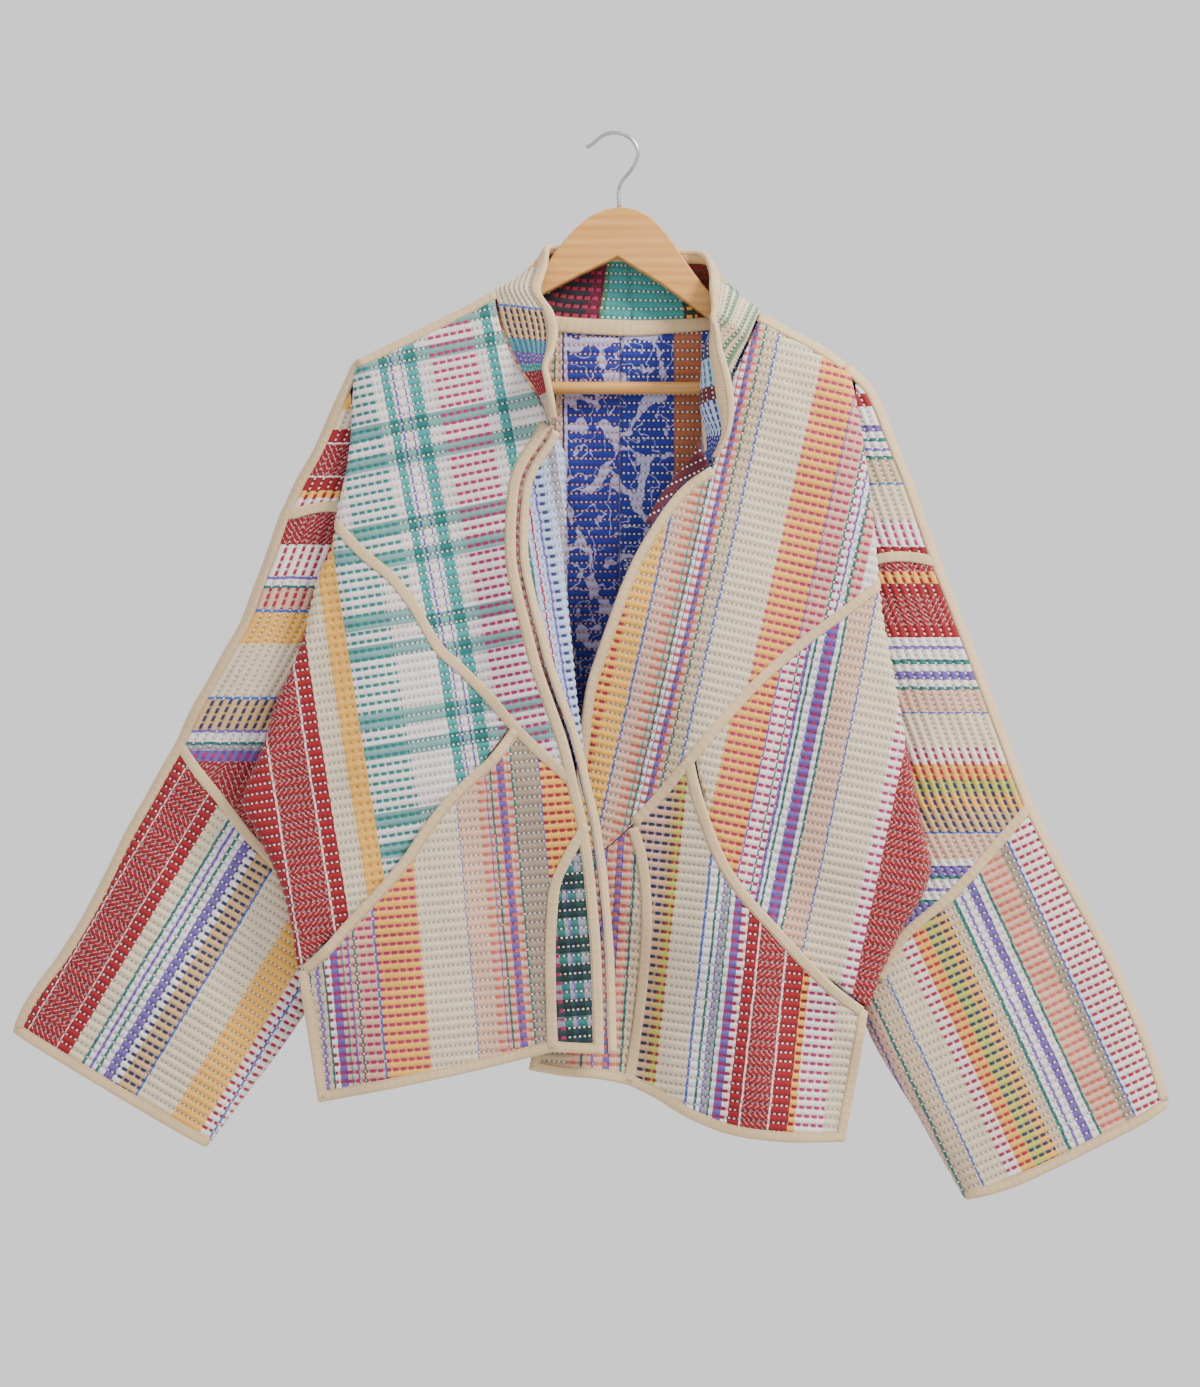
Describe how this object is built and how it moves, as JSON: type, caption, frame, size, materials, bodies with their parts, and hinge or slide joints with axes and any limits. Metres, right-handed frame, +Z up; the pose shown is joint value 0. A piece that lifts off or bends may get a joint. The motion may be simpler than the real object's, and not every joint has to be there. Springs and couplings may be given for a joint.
{
  "type": "jacket on a clothes hanger",
  "caption": "Boxy hip-length jacket of stitched patchwork cloth with bound edges, a stand collar and wide sleeves, open down the front, hung on a wooden clothes hanger.",
  "frame": {"origin": "the top of the inside of the hanger's hook, where it bears on what holds it up", "axes": "+X to the viewer's right as the front is seen, +Y from the front of the jacket to its back, +Z up"},
  "size_m": [1.0028, 0.0863, 0.9275],
  "materials": {
    "cloth_front_upper_right": "stitched cotton patchwork",
    "cloth_front_side_right": "stitched cotton patchwork",
    "cloth_front_pocket_right": "stitched cotton patchwork",
    "cloth_front_centre_right": "stitched cotton patchwork",
    "cloth_facing_right": "stitched cotton patchwork",
    "cloth_front_upper_left": "stitched cotton patchwork",
    "cloth_front_side_left": "stitched cotton patchwork",
    "cloth_front_pocket_left": "stitched cotton patchwork",
    "cloth_front_centre_left": "stitched cotton patchwork",
    "cloth_facing_left": "stitched cotton patchwork",
    "cloth_sleeve_upper_right": "stitched cotton patchwork",
    "cloth_sleeve_middle_right": "stitched cotton patchwork",
    "cloth_sleeve_lower_right": "stitched cotton patchwork",
    "cloth_sleeve_upper_left": "stitched cotton patchwork",
    "cloth_sleeve_middle_left": "stitched cotton patchwork",
    "cloth_sleeve_lower_left": "stitched cotton patchwork",
    "cloth_back_right": "stitched cotton patchwork",
    "cloth_back_left": "stitched cotton patchwork",
    "cloth_sleeve_back_upper_right": "stitched cotton patchwork",
    "cloth_sleeve_back_lower_right": "stitched cotton patchwork",
    "cloth_sleeve_back_upper_left": "stitched cotton patchwork",
    "cloth_sleeve_back_lower_left": "stitched cotton patchwork",
    "cloth_collar_right": "stitched cotton patchwork",
    "cloth_collar_left": "stitched cotton patchwork",
    "bias_tape": "folded cotton bias tape",
    "pine": "satin varnish",
    "steel": "polished"
  },
  "bodies": {
    "root": {"armhole_tape_left": "bias_tape", "armhole_tape_right": "bias_tape", "back_cuff_binding_left": "bias_tape", "back_cuff_binding_right": "bias_tape", "back_elbow_tape_left": "bias_tape", "back_elbow_tape_right": "bias_tape", "back_left": "cloth_back_left", "back_right": "cloth_back_right", "back_seam_tape": "bias_tape", "cap_tape_left": "bias_tape", "cap_tape_right": "bias_tape", "collar_binding": "bias_tape", "collar_left": "cloth_collar_left", "collar_right": "cloth_collar_right", "cuff_binding_left": "bias_tape", "cuff_binding_right": "bias_tape", "edge_binding_left": "bias_tape", "edge_binding_right": "bias_tape", "elbow_tape_left": "bias_tape", "elbow_tape_right": "bias_tape", "facing_left": "cloth_facing_left", "facing_right": "cloth_facing_right", "facing_tape_right": "bias_tape", "front_centre_left": "cloth_front_centre_left", "front_centre_right": "cloth_front_centre_right", "front_pocket_left": "cloth_front_pocket_left", "front_pocket_right": "cloth_front_pocket_right", "front_side_left": "cloth_front_side_left", "front_side_right": "cloth_front_side_right", "front_upper_left": "cloth_front_upper_left", "front_upper_right": "cloth_front_upper_right", "hanger_arms": "pine", "hanger_bar": "pine", "hanger_hook": "steel", "hem_binding_back": "bias_tape", "hem_binding_left": "bias_tape", "hem_binding_right": "bias_tape", "neck_tape_back": "bias_tape", "neck_tape_left": "bias_tape", "overarm_tape_left": "bias_tape", "overarm_tape_right": "bias_tape", "pocket_binding_left": "bias_tape", "pocket_binding_right": "bias_tape", "shoulder_tape_left": "bias_tape", "shoulder_tape_right": "bias_tape", "slant_tape_left": "bias_tape", "slant_tape_right": "bias_tape", "sleeve_back_lower_left": "cloth_sleeve_back_lower_left", "sleeve_back_lower_right": "cloth_sleeve_back_lower_right", "sleeve_back_upper_left": "cloth_sleeve_back_upper_left", "sleeve_back_upper_right": "cloth_sleeve_back_upper_right", "sleeve_lower_left": "cloth_sleeve_lower_left", "sleeve_lower_right": "cloth_sleeve_lower_right", "sleeve_middle_left": "cloth_sleeve_middle_left", "sleeve_middle_right": "cloth_sleeve_middle_right", "sleeve_upper_left": "cloth_sleeve_upper_left", "sleeve_upper_right": "cloth_sleeve_upper_right", "upright_tape_left": "bias_tape", "upright_tape_right": "bias_tape"}
  },
  "joints": []
}
